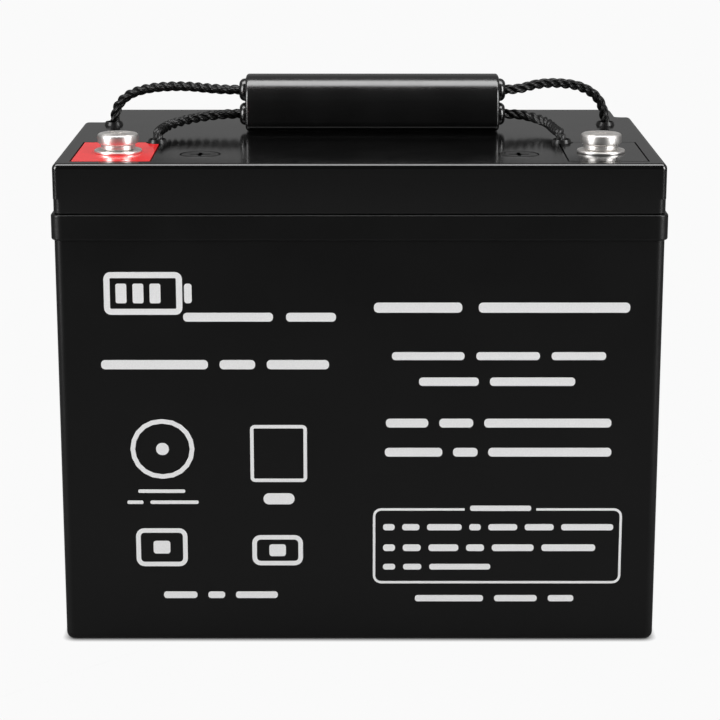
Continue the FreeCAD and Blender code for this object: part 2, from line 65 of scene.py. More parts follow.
# %% The camera
camera_data = bpy.data.cameras.new("camera")
camera_data.lens = 116.8
camera_data.sensor_width = 36.0
camera = bpy.data.objects.new("camera", camera_data)
camera.location = (0.0002, -1.048, 0.3683)
camera.rotation_euler = (radians(90.0 - 14.05), 0.0, 0.0)
bpy.context.scene.collection.objects.link(camera)
bpy.context.scene.camera = camera
print("camera", round(camera.location.length, 3), "m from the middle of the base")

# %% [markdown]
# ## The routes of the ropes
# A limp rope that is pushed into two holes makes a smooth arch: it leaves each hole straight, leans over, and
# meets the grip square to its end. A NURBS curve draws that with few points, because it is smooth by itself and
# only passes near its control points. The points are written from the hole and from the grip's end, the two
# places that fix a rope, so the same numbers serve on both sides with X counted outwards.

# %% Where the ropes leave the lid and where they enter the grip
LID_TOP = 211.0
ROPE_DIAMETER = 4.6
GRIP_LEFT_END, GRIP_RIGHT_END = -51.8, 63.4
GRIP_ROPE_Y = 15.7
ROPE_HEIGHT = {"front": LID_TOP + 7.2, "rear": LID_TOP + 18.2}
HOLE = {"front": (89.3, -23.2), "rear": (114.0, 30.8)}
FROM_HOLE = {
    "front_left": [(0, 0, -4.5), (0, 0, 3.9), (-0.6, 11.0, 3.9), (-3.2, 22.0, 4.4)],
    "rear_left": [(0, 0, -4.5), (0, 0, 6.0), (-6.0, -2.1, 14.0), (-17.0, -5.0, 17.9)],
    "front_right": [(0, 0, -4.5), (0, 0, 3.9), (-1.6, 9.6, 3.7), (-2.6, 19.0, 3.9)],
    "rear_right": [(0, 0, -4.5), (0, 0, 4.6), (-3.8, -1.6, 13.4), (-12.4, -5.0, 18.8)],
}
TO_GRIP = {
    "front_left": [(26.5, -8.2, -1.5), (17.8, -2.4, -0.7), (8.6, 0, 0), (0, 0, 0)],
    "rear_left": [(29.6, 6.6, 1.0), (17.6, 2.3, 0.4), (8.6, 0, 0), (0, 0, 0)],
    "front_right": [(21.6, -12.0, -2.3), (17.0, -4.3, -1.4), (9.0, 0, 0), (0, 0, 0)],
    "rear_right": [(27.0, 7.0, 2.4), (17.0, 3.2, 2.2), (8.6, 0, 0), (0, 0, 0)],
}


def outer_route(name):
    """The control points of one outer rope, in metres, from its hole to the grip's end."""
    row, side = name.split("_")
    outwards = -1.0 if side == "left" else 1.0
    hole_x, hole_y = HOLE[row]
    end_x = GRIP_LEFT_END if side == "left" else GRIP_RIGHT_END
    points = [(outwards * (hole_x + x), hole_y + y, LID_TOP + z) for x, y, z in FROM_HOLE[name]]
    points += [(end_x + outwards * x, GRIP_ROPE_Y + y, ROPE_HEIGHT[row] + z) for x, y, z in TO_GRIP[name]]
    return [tuple(MM * value for value in point) for point in points]


def inner_route(row):
    """The straight stretch of one rope inside the grip."""
    xs = [GRIP_LEFT_END, GRIP_LEFT_END + 39.0, GRIP_RIGHT_END - 39.0, GRIP_RIGHT_END]
    return [(MM * x, MM * GRIP_ROPE_Y, MM * ROPE_HEIGHT[row]) for x in xs]


ROUTES = {name: outer_route(name) for name in FROM_HOLE}
print("routes", {name: len(points) for name, points in ROUTES.items()})

# %% Read a smooth line back from a NURBS curve


def smooth_line(name, points):
    """The points that a NURBS spline runs through, close together, read from a curve with no thickness."""
    curve = bpy.data.curves.new(name, "CURVE")
    curve.dimensions = "3D"
    curve.resolution_u = 24
    spline = curve.splines.new("NURBS")
    spline.points.add(len(points) - 1)
    for point, place in zip(spline.points, points):
        point.co = (*place, 1.0)
    spline.order_u = 3
    spline.use_endpoint_u = True
    holder = bpy.data.objects.new(name, curve)
    bpy.context.scene.collection.objects.link(holder)
    bpy.context.view_layer.update()
    mesh = bpy.data.meshes.new_from_object(holder)
    line = [vertex.co.copy() for vertex in mesh.vertices]
    bpy.data.objects.remove(holder)
    bpy.data.meshes.remove(mesh)
    if (line[0] - Vector(points[0])).length > (line[-1] - Vector(points[0])).length:
        line.reverse()
    return line


def length_of(line):
    return sum((b - a).length for a, b in zip(line, line[1:]))


LINES = {name: smooth_line("line_" + name, points) for name, points in ROUTES.items()}
print("rope lengths in mm", {name: round(length_of(line) / MM, 1) for name, line in LINES.items()})

# %% [markdown]
# ## Laid rope
# The handle is a three-strand rope: three strands laid round each other to the right, each made of fine yarns.
# Its outline is three round lobes with deep grooves between them, turned once in every lay of about 13 mm.
# A skin of rings along the line, with each ring a three-lobed section turned a little further, gives one closed
# surface. The UV map holds the place round a strand and along the rope, so the yarns can follow the strands.

# %% The rope's section and its twist
ROPE_LAY = 13.0 * MM
STRAND_RADIUS = 1.22 * MM
STRAND_OFFSET = ROPE_DIAMETER / 2 * MM - STRAND_RADIUS
POINTS_PER_STRAND = 20
RING_STEP = 0.45 * MM


def lobe_radius(angle):
    """How far the outline of three touching strands is from the rope's middle, at an angle from a strand's top."""
    return STRAND_OFFSET * cos(angle) + sqrt(max(STRAND_RADIUS**2 - (STRAND_OFFSET * sin(angle)) ** 2, 0.0))


def points_along(line, step):
    """Places every step along a smooth line, and the way it runs there."""
    marks, run = [], 0.0
    distances = [0.0]
    for a, b in zip(line, line[1:]):
        run += (b - a).length
        distances.append(run)
    count = max(2, round(run / step))
    index = 0
    for number in range(count + 1):
        target = run * number / count
        while index < len(line) - 2 and distances[index + 1] < target:
            index += 1
        share = (target - distances[index]) / (distances[index + 1] - distances[index])
        marks.append((line[index].lerp(line[index + 1], share), target))
    directions = []
    for number in range(len(marks)):
        before = marks[max(number - 1, 0)][0]
        after = marks[min(number + 1, len(marks) - 1)][0]
        directions.append((after - before).normalized())
    return [(place, along, way) for (place, along), way in zip(marks, directions)]


def laid_rope(name, line, first_turn=0.0):
    """One closed three-strand skin round a line, with UVs round the strand and along the rope."""
    rings = points_along(line, RING_STEP)
    around = 3 * POINTS_PER_STRAND
    vertices, uvs = [], []
    side = rings[0][2].orthogonal().normalized()
    for place, along, way in rings:
        side = (side - way * side.dot(way)).normalized()
        other = way.cross(side)
        turn = first_turn + 2 * pi * along / ROPE_LAY
        for number in range(around):
            angle = 2 * pi * number / around
            local = (angle + pi / 3) % (2 * pi / 3) - pi / 3
            radius = lobe_radius(local)
            vertices.append(place + radius * (cos(angle + turn) * side + sin(angle + turn) * other))
            uvs.append((number / POINTS_PER_STRAND, along / ROPE_LAY))
    faces, face_uvs = [], []
    for ring in range(len(rings) - 1):
        for number in range(around):
            following = (number + 1) % around
            a, b = ring * around + number, ring * around + following
            c, d = b + around, a + around
            faces.append((a, b, c, d))
            u, v = uvs[a]
            v_next = uvs[d][1]
            u_next = (number + 1) / POINTS_PER_STRAND
            face_uvs.append([(u, v), (u_next, v), (u_next, v_next), (u, v_next)])
    last = (len(rings) - 1) * around
    for middle, start, flip in ((rings[0][0], 0, True), (rings[-1][0], last, False)):
        centre = len(vertices)
        vertices.append(middle)
        for number in range(around):
            a, b = start + number, start + (number + 1) % around
            faces.append((b, a, centre) if flip else (a, b, centre))
            face_uvs.append([(0.5, 0.0)] * 3)
    mesh = bpy.data.meshes.new(name)
    mesh.from_pydata(vertices, [], faces)
    layer = mesh.uv_layers.new(name="strand")
    flat = [value for corner_uvs in face_uvs for uv in corner_uvs for value in uv]
    layer.data.foreach_set("uv", flat)
    mesh.polygons.foreach_set("use_smooth", [True] * len(mesh.polygons))
    mesh.update()
    rope = bpy.data.objects.new(name, mesh)
    bpy.context.scene.collection.objects.link(rope)
    return rope


# %% The four outer ropes, from the lid to the grip
ropes = {}
for name, line in LINES.items():
    rope = laid_rope("laid_rope_" + name, line)
    hole = Vector(ROUTES[name][0])
    hole.z = LID_TOP * MM
    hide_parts("rope_" + name)
    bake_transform(rope)
    ropes[name] = rope
    print(rope.name, len(rope.data.polygons), "faces")

# %% The two stretches of rope inside the grip
for row in ("front", "rear"):
    line = smooth_line("line_" + row, inner_route(row))
    rope = laid_rope("laid_rope_" + row + "_in_grip", line)
    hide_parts("rope_" + row + "_in_grip")
    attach(rope, "ropes")
    ropes[row + "_in_grip"] = rope
    print(rope.name, len(rope.data.polygons), "faces")

# %% [markdown]
# ## Helpers for materials
# Colours are written as the hex values that a colour picker shows, and one function turns them into the linear
# values that light is worked out in. One function adds a shader node with its settings and its links.

# %% Colour and node helpers


def linear(hex_colour):
    """An sRGB hex colour as linear red, green, blue and alpha."""
    values = [int(hex_colour[i:i + 2], 16) / 255 for i in (1, 3, 5)]
    return (*[v / 12.92 if v <= 0.04045 else ((v + 0.055) / 1.055) ** 2.4 for v in values], 1.0)


def add(tree, kind, inputs=None, **settings):
    """Add one node. A value in inputs is set on its socket, and another node's output is linked to it."""
    node = tree.nodes.new("ShaderNode" + kind)
    for name, value in settings.items():
        setattr(node, name, value)
    for socket, value in (inputs or {}).items():
        if isinstance(value, bpy.types.NodeSocket):
            tree.links.new(value, node.inputs[socket])
        else:
            node.inputs[socket].default_value = value
    return node


def new_material(name):
    """An empty material and its node tree."""
    material = bpy.data.materials.new(name)
    material.use_nodes = True
    material.node_tree.nodes.clear()
    return material, material.node_tree


print("pure white is", linear("#FFFFFF"))

# %% [markdown]
# ## Floor and light
# A small glossy black thing looks best on a white sweep with large soft lights. The floor is kept white to the
# eye, while the surfaces see dark cards in it, which is how a studio keeps black plastic black: the floor's
# material is bright for what looks at it directly and grey for what is reflected. Its only shadow is the thin
# one right under the case, which comes from ambient occlusion within a few millimetres. The room is dark in front
# and lighter behind, so that the lid mirrors a soft grey. A long softbox straight above draws the bright line on
# the grip and on the lid's edge, and one at each side lights the printing and draws the upright edges' lines.

# %% The floor
FLOOR_WHITE = 0.956
SHADOW_REACH = 3.0 * MM
floor_material, tree = new_material("white paper sweep")
painted_contact_shadow = add(tree, "AmbientOcclusion", {"Distance": SHADOW_REACH}, samples=16)
# The floor's glow is multiplied by the occlusion, so the thin shadow right under the case is painted shade.
seen = add(tree, "Emission", {"Color": painted_contact_shadow.outputs["Color"], "Strength": FLOOR_WHITE})
in_reflections = add(tree, "BsdfDiffuse", {"Color": linear("#808080")})
ray = add(tree, "LightPath")
floor_mix = add(tree, "MixShader", {
    0: ray.outputs["Is Camera Ray"], 1: in_reflections.outputs[0], 2: seen.outputs[0]})
add(tree, "OutputMaterial", {"Surface": floor_mix.outputs[0]})

bpy.ops.object.select_all(action="DESELECT")
bpy.ops.mesh.primitive_plane_add(size=40.0, location=(0.0, 0.0, -0.1 * MM))
floor = bpy.context.object
floor.name = "floor"
floor.data.materials.append(floor_material)
print("floor", floor.dimensions.x, "m across")

# %% The room and the softboxes
bpy.context.scene.view_settings.view_transform = "Standard"
world = bpy.data.worlds.new("studio")
world.use_nodes = True
tree = world.node_tree
tree.nodes.clear()
direction = add(tree, "TexCoord")
DARK_IN_FRONT, LIGHT_BEHIND = 0.06, 0.21
ways = add(tree, "SeparateXYZ", {0: direction.outputs["Generated"]})
glow = add(tree, "MapRange", {
    "Value": ways.outputs["Y"], "From Min": -0.3, "From Max": 0.4, "To Min": DARK_IN_FRONT, "To Max": LIGHT_BEHIND})
room = add(tree, "Background", {"Color": linear("#FFFFFF"), "Strength": glow.outputs[0]})
backdrop = add(tree, "Background", {"Color": linear("#FFFFFF"), "Strength": FLOOR_WHITE})
ray = add(tree, "LightPath")
room_mix = add(tree, "MixShader", {0: ray.outputs["Is Camera Ray"], 1: room.outputs[0], 2: backdrop.outputs[0]})
add(tree, "OutputWorld", {"Surface": room_mix.outputs[0]})
bpy.context.scene.world = world

# Each softbox has its place, what it aims at, its width and height in metres, and its watts.
SOFTBOXES = {
    "softbox_above": ((0.0, -0.02, 1.1), (0.0, -0.02, 0.2), 1.6, 0.5, 14.5),
    "softbox_left": ((-1.05, -0.62, 0.5), (0.0, 0.0, 0.15), 0.5, 0.9, 13.0),
    "softbox_right": ((1.05, -0.62, 0.5), (0.0, 0.0, 0.15), 0.5, 0.9, 13.0),
}
for name, (place, aim, width, tall, watts) in SOFTBOXES.items():
    light = bpy.data.lights.new(name, "AREA")
    light.shape = "RECTANGLE"
    light.size, light.size_y, light.energy = width, tall, watts
    holder = bpy.data.objects.new(name, light)
    holder.location = place
    holder.rotation_euler = (Vector(aim) - Vector(place)).to_track_quat("-Z", "Y").to_euler()
    bpy.context.scene.collection.objects.link(holder)
print("lights", list(SOFTBOXES))

# %% [markdown]
# ## Moulded plastics
# The case, the lid, the plugs and the markers are injection-moulded ABS, the collars are nylon and the grip is a
# soft rubber-like plastic. All of them are one family: a dark or plain colour, a clear reflection of a few
# percent, a fine grain from the mould and a gloss that changes slowly over the surface. One function makes the
# family, and each material gives the grain's size and depth in millimetres. Painting each part by itself would
# take as many node trees as there are parts, and they would drift apart.

# %% A function for moulded plastic


def moulded_plastic(name, colour, roughness, ior, grain, depth, gloss_drift=0.03, drift_size=30.0,
                    shine=0.5):
    """Plastic with a mould grain of a size and depth in mm, and a gloss that drifts over drift_size mm."""
    material, tree = new_material(name)
    place = add(tree, "TexCoord").outputs["Object"]
    pattern = add(tree, "TexNoise", {"Vector": place, "Scale": 1 / (grain * MM), "Detail": 3.0})
    relief = add(tree, "Bump", {"Strength": 1.0, "Distance": depth * MM, "Height": pattern.outputs[0]})
    drift = add(tree, "TexNoise", {"Vector": place, "Scale": 1 / (drift_size * MM), "Detail": 4.0})
    gloss = add(tree, "MapRange", {
        "Value": drift.outputs[0], "From Min": 0.35, "From Max": 0.65,
        "To Min": roughness - gloss_drift, "To Max": roughness + gloss_drift})
    deep, pale = linear(colour), [min(1.0, 1.16 * v) for v in linear(colour)[:3]] + [1.0]
    tint = add(tree, "Mix", {0: drift.outputs[0], 6: deep, 7: pale}, data_type="RGBA")
    shader = add(tree, "BsdfPrincipled", {
        "Base Color": tint.outputs[2], "Roughness": gloss.outputs[0], "IOR": ior,
        "Specular IOR Level": shine, "Normal": relief.outputs[0]})
    add(tree, "OutputMaterial", {"Surface": shader.outputs[0]})
    return material


finishes = {
    # Spark-eroded ABS: the walls are even and dark, with a wide soft shine.
    "case_abs": moulded_plastic("satin moulded ABS", "#060606", 0.34, 1.54, 0.8, 0.006, shine=0.28),
    # Polished ABS: the same plastic from a polished mould, so it mirrors what stands on it.
    "lid_abs": moulded_plastic("glossy moulded ABS", "#030303", 0.13, 1.54, 6.0, 0.004, 0.02, shine=0.7),
    # Inner covers are plain moulded ABS, never seen once the lid is welded on.
    "inner_abs": moulded_plastic("plain moulded ABS", "#2A2B2C", 0.45, 1.54, 1.0, 0.01),
    # Vent plugs are turned in flush and have the lid's gloss.
    "plug_abs": moulded_plastic("glossy plug ABS", "#030303", 0.16, 1.54, 3.0, 0.004, 0.02),
    # Red and black marker plates are polished coloured ABS.
    "marker_red": moulded_plastic("polished red ABS", "#D82426", 0.12, 1.54, 6.0, 0.003, 0.02),
    "marker_black": moulded_plastic("polished black ABS", "#030303", 0.13, 1.54, 6.0, 0.003, 0.02, shine=0.7),
    # Nylon is a little duller and greyer than ABS.
    "collar_nylon": moulded_plastic("moulded nylon", "#050505", 0.32, 1.53, 0.7, 0.008),
    # The grip is a smooth thermoplastic rubber; its oily skin gives it a strong satin shine.
    "grip_rubber": moulded_plastic(
        "satin thermoplastic rubber", "#040404", 0.23, 1.5, 0.9, 0.006, 0.03, 22.0, shine=1.0),
    # Where a rope's end was melted, its fibres have run together into a shiny dark lump.
    "melted_rope": moulded_plastic("melted polypropylene", "#060606", 0.3, 1.49, 1.5, 0.05),
    # EPDM seals are dull and black.
    "seal_rubber": moulded_plastic("pressed rubber", "#1B1B1B", 0.6, 1.52, 0.6, 0.02),
}
print("plastics", sorted(finishes))

# %% [markdown]
# ## Metals
# The screws and washers are steel with a bright plating, turned on a lathe, so fine rings run round them. The
# distance from the screw's axis and the height give the rings: both terminals lie at the same distance from the
# middle, so the size of X serves for both. The inserts are tinned brass and the posts and plates are cast lead,
# dull grey with a mottled skin.

# %% Turned and cast metal
TERMINAL_X, TERMINAL_Y = 103.9, -50.5


def turned_metal(name, colour, roughness, ring_width, ring_depth):
    """Bright metal with fine rings round the terminal's axis, their width and depth in mm."""
    material, tree = new_material(name)
    place = add(tree, "TexCoord").outputs["Object"]
    positive = add(tree, "VectorMath", {0: place}, operation="ABSOLUTE")
    axis = (abs(TERMINAL_X) * MM, abs(TERMINAL_Y) * MM, 0.0)
    centred = add(tree, "VectorMath", {0: positive.outputs[0], 1: axis}, operation="SUBTRACT")
    flat = add(tree, "VectorMath", {0: centred.outputs[0], 1: (1.0, 1.0, 0.0)}, operation="MULTIPLY")
    radius = add(tree, "VectorMath", {0: flat.outputs[0]}, operation="LENGTH")
    height = add(tree, "SeparateXYZ", {0: place})
    profile = add(tree, "CombineXYZ", {0: radius.outputs["Value"], 1: height.outputs["Z"]})
    rings = add(tree, "TexNoise", {"Vector": profile.outputs[0], "Scale": 1 / (ring_width * MM), "Detail": 3.0})
    relief = add(tree, "Bump", {"Strength": 1.0, "Distance": ring_depth * MM, "Height": rings.outputs[0]})
    blotches = add(tree, "TexNoise", {"Vector": place, "Scale": 1 / (2.5 * MM), "Detail": 4.0})
    gloss = add(tree, "MapRange", {
        "Value": blotches.outputs[0], "To Min": roughness - 0.07, "To Max": roughness + 0.07})
    deep = [0.8 * v for v in linear(colour)[:3]] + [1.0]
    tint = add(tree, "Mix", {0: rings.outputs[0], 6: deep, 7: linear(colour)}, data_type="RGBA")
    shader = add(tree, "BsdfPrincipled", {
        "Base Color": tint.outputs[2], "Metallic": 1.0, "Roughness": gloss.outputs[0],
        "Normal": relief.outputs[0]})
    add(tree, "OutputMaterial", {"Surface": shader.outputs[0]})
    return material


def cast_metal(name, dark, light, roughness, spangle):
    """Dull cast metal, mottled in patches of a size in mm."""
    material, tree = new_material(name)
    place = add(tree, "TexCoord").outputs["Object"]
    patches = add(tree, "TexNoise", {"Vector": place, "Scale": 1 / (spangle * MM), "Detail": 6.0})
    tint = add(tree, "Mix", {0: patches.outputs[0], 6: linear(dark), 7: linear(light)}, data_type="RGBA")
    relief = add(tree, "Bump", {"Distance": 0.05 * MM, "Height": patches.outputs[0]})
    shader = add(tree, "BsdfPrincipled", {
        "Base Color": tint.outputs[2], "Metallic": 1.0, "Roughness": roughness, "Normal": relief.outputs[0]})
    add(tree, "OutputMaterial", {"Surface": shader.outputs[0]})
    return material


finishes["plated_steel"] = turned_metal("bright plated steel", "#F0EDEA", 0.38, 0.35, 0.004)
finishes["tinned_brass"] = turned_metal("tinned brass", "#CFCBBE", 0.32, 0.4, 0.004)
finishes["lead"] = cast_metal("cast lead alloy", "#50545A", "#8A8F94", 0.5, 2.2)
print("metals", finishes["plated_steel"].name, finishes["lead"].name)

# %% [markdown]
# ## Fibres
# The rope's yarns lie almost along the rope, because they are twisted against the strands. A line of yarns is
# drawn from the two parts of the UV map: where round the strand, and where along the rope. The separators are a
# white felt of glass fibres and the flame arresters are sintered grains.

# %% Rope yarn, glass felt and sintered disc
YARNS_PER_STRAND = 6
rope_material, tree = new_material("twisted polypropylene yarn")
place = add(tree, "UVMap", uv_map="strand")
parts = add(tree, "SeparateXYZ", {0: place.outputs[0]})
leaning = add(tree, "Math", {0: parts.outputs["Y"], 1: 2.3, 2: parts.outputs["X"]}, operation="MULTIPLY_ADD")
turns = add(tree, "Math", {0: leaning.outputs[0], 1: 2 * pi * YARNS_PER_STRAND}, operation="MULTIPLY")
wave = add(tree, "Math", {0: turns.outputs[0]}, operation="SINE")
fibres = add(tree, "TexNoise", {
    "Vector": add(tree, "CombineXYZ", {0: leaning.outputs[0], 1: parts.outputs["Y"]}).outputs[0],
    "Scale": 14.0, "Detail": 4.0})
height = add(tree, "Math", {0: fibres.outputs[0], 1: 1.6, 2: wave.outputs[0]}, operation="MULTIPLY_ADD")
relief = add(tree, "Bump", {"Distance": 0.05 * MM, "Height": height.outputs[0]})
# The colour follows the relief's height: darker in the grooves between yarns and lighter on their crowns, a painted
# shade and painted highlight.
groove_shade = add(tree, "MapRange", {"Value": height.outputs[0], "From Min": -0.6, "From Max": 2.0})
tint = add(tree, "Mix", {0: groove_shade.outputs[0], 6: linear("#020202"), 7: linear("#0A0A0A")}, data_type="RGBA")
shader = add(tree, "BsdfPrincipled", {
    "Base Color": tint.outputs[2], "Roughness": 0.3, "IOR": 1.49, "Specular IOR Level": 0.35,
    "Normal": relief.outputs[0]})
add(tree, "OutputMaterial", {"Surface": shader.outputs[0]})
finishes["rope_cord"] = rope_material

felt, tree = new_material("glass fibre felt")
place = add(tree, "TexCoord").outputs["Object"]
stretched = add(tree, "Mapping", {"Vector": place, "Scale": (1.0, 0.25, 1.0)})
fibres = add(tree, "TexNoise", {"Vector": stretched.outputs[0], "Scale": 1 / (0.5 * MM), "Detail": 6.0})
tint = add(tree, "Mix", {0: fibres.outputs[0], 6: linear("#D9D6CC"), 7: linear("#F6F5F0")}, data_type="RGBA")
relief = add(tree, "Bump", {"Distance": 0.12 * MM, "Height": fibres.outputs[0]})
shader = add(tree, "BsdfPrincipled", {
    "Base Color": tint.outputs[2], "Roughness": 0.95, "Sheen Weight": 0.2, "Normal": relief.outputs[0]})
add(tree, "OutputMaterial", {"Surface": shader.outputs[0]})
finishes["glass_mat"] = felt

sinter, tree = new_material("sintered grains")
place = add(tree, "TexCoord").outputs["Object"]
grains = add(tree, "TexVoronoi", {"Vector": place, "Scale": 1 / (0.35 * MM)})
# The colour follows the grains: pale in their middles and dark towards their edges, where the relief sinks into the
# pores between them, a painted shade.
tint = add(tree, "Mix", {0: grains.outputs[0], 6: linear("#C9C6BE"), 7: linear("#77746D")}, data_type="RGBA")
relief = add(tree, "Bump", {"Distance": 0.12 * MM, "Height": grains.outputs[0]}, invert=True)
shader = add(tree, "BsdfPrincipled", {"Base Color": tint.outputs[2], "Roughness": 0.85, "Normal": relief.outputs[0]})
add(tree, "OutputMaterial", {"Surface": shader.outputs[0]})
finishes["porous_disc"] = sinter
print("finishes", len(finishes))

# %% Give every measured part its finish
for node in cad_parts.values():
    for material_slot in node.material_slots:
        material_slot.material = finishes[material_slot.material.name]
for rope in ropes.values():
    rope.data.materials.append(finishes["rope_cord"])
print("finishes given to", len(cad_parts), "parts")

# %% [markdown]
# ## Shaping by hand, in code
# Modelling by hand is: add a primitive at its size and place, pick some edges or faces, and bevel, inset or
# extrude them. Small helpers do the picking and the bookkeeping, so that each piece below reads like the
# steps of a hand-made model. A cutter is a piece of its own that is removed after it has cut.

# %% Helpers for shaping


def applied(name):
    """Name the new primitive and put its place and size into its mesh."""
    piece = bpy.context.object
    piece.name = piece.data.name = name
    bpy.ops.object.transform_apply(location=True, rotation=True, scale=True)
    return piece


def block(name, low, high):
    """A box between two corners given in mm."""
    bpy.ops.object.select_all(action="DESELECT")
    low, high = Vector(low) * MM, Vector(high) * MM
    bpy.ops.mesh.primitive_cube_add(size=1.0, location=(low + high) / 2)
    bpy.context.object.scale = high - low
    return applied(name)


def rod(name, start, along, length, radius, sides=64):
    """A cylinder in mm that starts at a point and runs along X or Z."""
    bpy.ops.object.select_all(action="DESELECT")
    way = Vector((1.0, 0.0, 0.0)) if along == "X" else Vector((0.0, 0.0, 1.0))
    turn = (0.0, pi / 2, 0.0) if along == "X" else (0.0, 0.0, 0.0)
    middle = (Vector(start) + way * length / 2) * MM
    bpy.ops.mesh.primitive_cylinder_add(
        vertices=sides, radius=radius * MM, depth=abs(length) * MM, location=middle, rotation=turn)
    return applied(name)


def pick(piece, kind, test):
    """Go into edit mode with only those vertices, edges or polygons selected whose corners, in mm, pass a test."""
    mode = {"vertices": "VERT", "edges": "EDGE", "polygons": "FACE"}[kind]
    bpy.context.view_layer.objects.active = piece
    piece.select_set(True)
    bpy.ops.object.mode_set(mode="EDIT")
    bpy.ops.mesh.select_mode(type=mode)
    bpy.ops.mesh.select_all(action="DESELECT")
    bpy.ops.object.mode_set(mode="OBJECT")
    for element in getattr(piece.data, kind):
        numbers = [element.index] if kind == "vertices" else element.vertices
        element.select = bool(test([piece.data.vertices[n].co / MM for n in numbers]))
    bpy.ops.object.mode_set(mode="EDIT")


def bevel(piece, test, width, segments):
    """Round the edges that pass a test, by a width in mm."""
    pick(piece, "edges", test)
    bpy.ops.mesh.bevel(offset=width * MM, segments=segments, affect="EDGES", clamp_overlap=True)
    bpy.ops.object.mode_set(mode="OBJECT")


def combine(piece, tools, operation):
    """Join the tools to the piece, or cut them out of it, and remove them."""
    for tool in tools:
        modifier = piece.modifiers.new(operation.lower(), "BOOLEAN")
        modifier.operation, modifier.object, modifier.solver = operation, tool, "EXACT"
        bpy.context.view_layer.objects.active = piece
        bpy.ops.object.modifier_apply(modifier=modifier.name)
        bpy.data.meshes.remove(tool.data)


def smooth(piece, angle=35.0):
    """Smooth shading wherever faces meet at less than an angle."""
    bpy.ops.object.select_all(action="DESELECT")
    piece.select_set(True)
    bpy.context.view_layer.objects.active = piece
    bpy.ops.object.shade_smooth_by_angle(angle=radians(angle), keep_sharp_edges=False)


def all_at(axis, value, tolerance=0.01):
    """A test for elements that lie at one place along an axis, in mm."""
    return lambda corners: all(abs(corner[axis] - value) < tolerance for corner in corners)


def finished(piece, finish, body, *nodes, slot=None):
    """Give a piece its finish, let it ride on a body and stand for the measured parts."""
    piece.data.materials.clear()
    piece.data.materials.append(finishes[finish])
    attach(piece, body)
    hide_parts(*nodes)
    print(piece.name, len(piece.data.polygons), "faces")


print("helpers for shaping are ready")

# %% [markdown]
# ## The ends of the ropes inside the lid
# Each rope is held by its own end: the last stretch is melted and pressed into a ball that cannot pass back up
# through its collar, and a short tail of rope is left below. The measured box of the knots gives the ball's size.

# %% Rope ends and melted balls
knots_low, knots_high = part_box("rope_knots")
BALL_RADIUS = knots_high[0] / MM - HOLE["rear"][0]
TAIL = 3.0
ball_middle = knots_low[2] / MM + BALL_RADIUS + TAIL
for name, route in ROUTES.items():
    x, y, top = route[0]
    end_line = [Vector((x, y, top)), Vector((x, y, knots_low[2]))]
    rope_end = laid_rope("laid_rope_end_" + name, end_line)
    finished(rope_end, "rope_cord", "case", "rope_knots")
    bpy.ops.object.select_all(action="DESELECT")
    bpy.ops.mesh.primitive_uv_sphere_add(
        segments=40, ring_count=20, radius=BALL_RADIUS * MM, location=(x, y, ball_middle * MM))
    ball = applied("melted_rope_ball_" + name)
    smooth(ball, 60.0)
    finished(ball, "melted_rope", "case", "rope_knots", slot="rope_cord")

# %% [markdown]
# ## The grip
# The grip is a soft sleeve that the fingers of one hand close round: nearly half round on top, flat in front and
# gently rounded below. It is a block whose long edges are bevelled, widely above and narrowly below. The end
# caps carry on the same section, their rims are rounded, and a domed lobe stands round each rope. The bores are
# cut right through, so that the grip can slide a little along its ropes, and their mouths are a little wider, so
# that a rope may begin to bend inside them.

# %% The section shared by the sleeve and its caps
GRIP_FRONT, GRIP_BACK = 4.7, 30.7
GRIP_LOW, GRIP_HIGH = LID_TOP + 0.4, LID_TOP + 25.0
GRIP_TOP_ROUND, GRIP_BOTTOM_ROUND = 11.0, 4.7
CAP_THICKNESS = 4.0
CAP_RIM_ROUND = 1.5
BORE_RADIUS = 3.0
LOBE_RADIUS, LOBE_RISE, LOBE_ROUND = 5.15, 3.0, 2.6
MOUTH_RADIUS = 3.2


def grip_length_of_section(name, low_x, high_x):
    """A length of the grip's section between two places along X."""
    piece = block(name, (low_x, GRIP_FRONT, GRIP_LOW), (high_x, GRIP_BACK, GRIP_HIGH))

    def lengthwise_at(height):
        return lambda corners: all(abs(c.z - height) < 0.01 for c in corners) and \
            abs(corners[0].y - corners[1].y) < 0.01
    bevel(piece, lengthwise_at(GRIP_HIGH), GRIP_TOP_ROUND, 16)
    bevel(piece, lengthwise_at(GRIP_LOW), GRIP_BOTTOM_ROUND, 8)
    return piece


def bores(low_x, high_x, radius):
    return [rod("bore", (low_x, GRIP_ROPE_Y, height), "X", high_x - low_x, radius)
            for height in ROPE_HEIGHT.values()]


# %% The sleeve
sleeve_low, sleeve_high = GRIP_LEFT_END + CAP_THICKNESS, GRIP_RIGHT_END - CAP_THICKNESS
sleeve = grip_length_of_section("grip_sleeve_moulding", sleeve_low, sleeve_high)
combine(sleeve, bores(sleeve_low - 1, sleeve_high + 1, BORE_RADIUS), "DIFFERENCE")
smooth(sleeve)
finished(sleeve, "grip_rubber", "grip", "grip_sleeve")

# %% The two end caps with their lobes
for side, outer, outwards in (("left", GRIP_LEFT_END, -1), ("right", GRIP_RIGHT_END, 1)):
    inner = outer - outwards * CAP_THICKNESS
    cap = grip_length_of_section("grip_cap_moulding_" + side, min(inner, outer), max(inner, outer))
    bevel(cap, all_at(0, outer), CAP_RIM_ROUND, 6)
    lobe_start, lobe_end = sorted((outer - outwards * 2.0, outer + outwards * LOBE_RISE))
    lobes = []
    for height in ROPE_HEIGHT.values():
        lobe = rod("lobe", (lobe_start, GRIP_ROPE_Y, height), "X", lobe_end - lobe_start, LOBE_RADIUS)
        bevel(lobe, all_at(0, outer + outwards * LOBE_RISE), LOBE_ROUND, 7)
        lobes.append(lobe)
    combine(cap, lobes, "UNION")
    combine(cap, bores(min(inner, lobe_start) - 1, max(inner, lobe_end) + 1, MOUTH_RADIUS), "DIFFERENCE")
    smooth(cap)
    finished(cap, "grip_rubber", "grip", "grip_cap_" + side)

